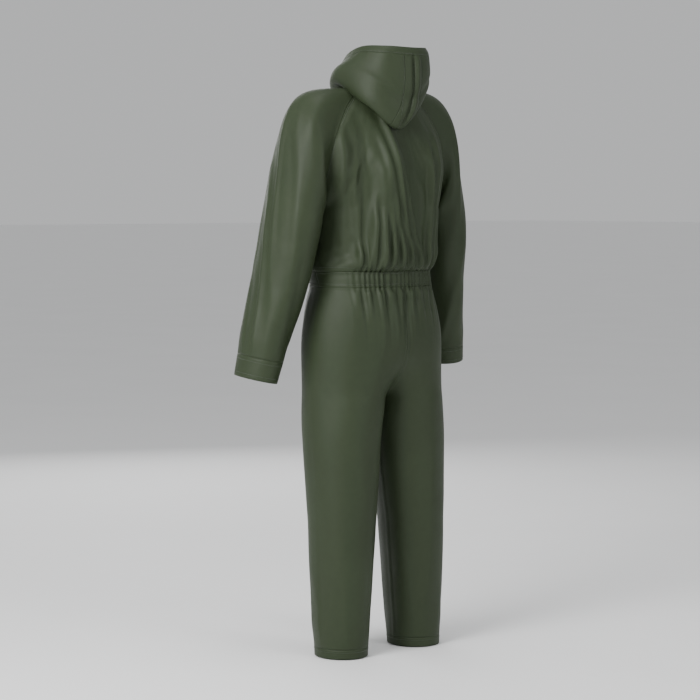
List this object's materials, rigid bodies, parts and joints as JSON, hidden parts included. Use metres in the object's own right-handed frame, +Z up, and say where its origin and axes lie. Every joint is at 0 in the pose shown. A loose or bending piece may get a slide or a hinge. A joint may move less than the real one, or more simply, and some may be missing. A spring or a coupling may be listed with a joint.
{
  "type": "hooded waterproof coverall",
  "caption": "Hooded one-piece waterproof coverall in its worn shape, with raglan sleeves, an elasticated back waist, a zip under a storm flap, and straight trouser legs.",
  "frame": {"origin": "bearing point on the underside of the hanger loop, inside the back of the neck", "axes": "+Z up, the wearer faces -Y, the wearer's left is +X"},
  "size_m": [0.7764, 0.3458, 1.6916],
  "materials": {
    "coated_fabric": "dark olive green polyurethane-coated knit, smooth, satin sheen",
    "elastic": "woven elastic, matt",
    "webbing": "woven tape, matt",
    "zip_tape": "woven zip tape, matt",
    "zip_plastic": "moulded nylon coil",
    "zip_metal": "enamelled zinc, satin",
    "stud_plastic": "moulded acetal, smooth"
  },
  "bodies": {
    "torso": {"back_panel": "coated_fabric", "front_panel_left": "coated_fabric", "front_panel_right": "coated_fabric", "raglan_cap_left": "coated_fabric", "raglan_cap_right": "coated_fabric", "waistband_back": "coated_fabric", "waistband_front_left": "coated_fabric", "waistband_front_right": "coated_fabric", "hip_left": "coated_fabric", "hip_right": "coated_fabric", "hood_side_left": "coated_fabric", "hood_side_right": "coated_fabric", "hood_centre": "coated_fabric", "hood_hem": "coated_fabric", "flap_gusset": "coated_fabric", "waist_elastic": "elastic", "neck_band": "webbing", "hanger_loop": "webbing", "zip_tape_left": "zip_tape", "zip_tape_right": "zip_tape", "zip_chain_left": "zip_plastic", "zip_chain_right": "zip_plastic", "zip_stop_left": "zip_metal", "zip_stop_right": "zip_metal", "zip_stop_bottom": "zip_metal", "stud_post_1": "stud_plastic", "stud_post_2": "stud_plastic", "stud_post_3": "stud_plastic", "stud_post_4": "stud_plastic", "stud_post_5": "stud_plastic"},
    "sleeve_left": {"sleeve_left": "coated_fabric", "sleeve_hem_left": "coated_fabric"},
    "sleeve_right": {"sleeve_right": "coated_fabric", "sleeve_hem_right": "coated_fabric"},
    "leg_left": {"leg_left": "coated_fabric", "leg_hem_left": "coated_fabric"},
    "leg_right": {"leg_right": "coated_fabric", "leg_hem_right": "coated_fabric"},
    "storm_flap": {"storm_flap": "coated_fabric", "stud_cap_1": "stud_plastic", "stud_cap_2": "stud_plastic", "stud_cap_3": "stud_plastic", "stud_cap_4": "stud_plastic", "stud_cap_5": "stud_plastic"},
    "zip_slider": {"zip_slider": "zip_metal"},
    "zip_pull": {"zip_pull": "zip_metal"}
  },
  "joints": [
    {"name": "sleeve_left_swing", "type": "hinge", "parent": "torso", "child": "sleeve_left", "pos_m": [0.248, -0.088, -0.2888], "axis": [-0.891, 0, 0.454], "range_deg": [-25, 80]},
    {"name": "sleeve_right_swing", "type": "hinge", "parent": "torso", "child": "sleeve_right", "pos_m": [-0.248, -0.088, -0.2888], "axis": [-0.891, 0, -0.454], "range_deg": [-25, 80]},
    {"name": "leg_left_swing", "type": "hinge", "parent": "torso", "child": "leg_left", "pos_m": [0.105, -0.05, -0.7323], "axis": [-0.8139, 0, 0.581], "range_deg": [-15, 50]},
    {"name": "leg_right_swing", "type": "hinge", "parent": "torso", "child": "leg_right", "pos_m": [-0.105, -0.05, -0.7323], "axis": [-0.8139, 0, -0.581], "range_deg": [-15, 50]},
    {"name": "flap_swing", "type": "hinge", "parent": "torso", "child": "storm_flap", "pos_m": [0.041, -0.22767, -0.74873], "axis": [0, 0.044, 0.999], "range_deg": [0, 160]},
    {"name": "slider_travel", "type": "slide", "parent": "torso", "child": "zip_slider", "axis": [0, -0.044, -0.999], "range_m": [0, 0.6]},
    {"name": "pull_flip", "type": "hinge", "parent": "zip_slider", "child": "zip_pull", "pos_m": [0, -0.19052, -0.10912], "axis": [-1, 0, 0], "range_deg": [0, 150]}
  ]
}
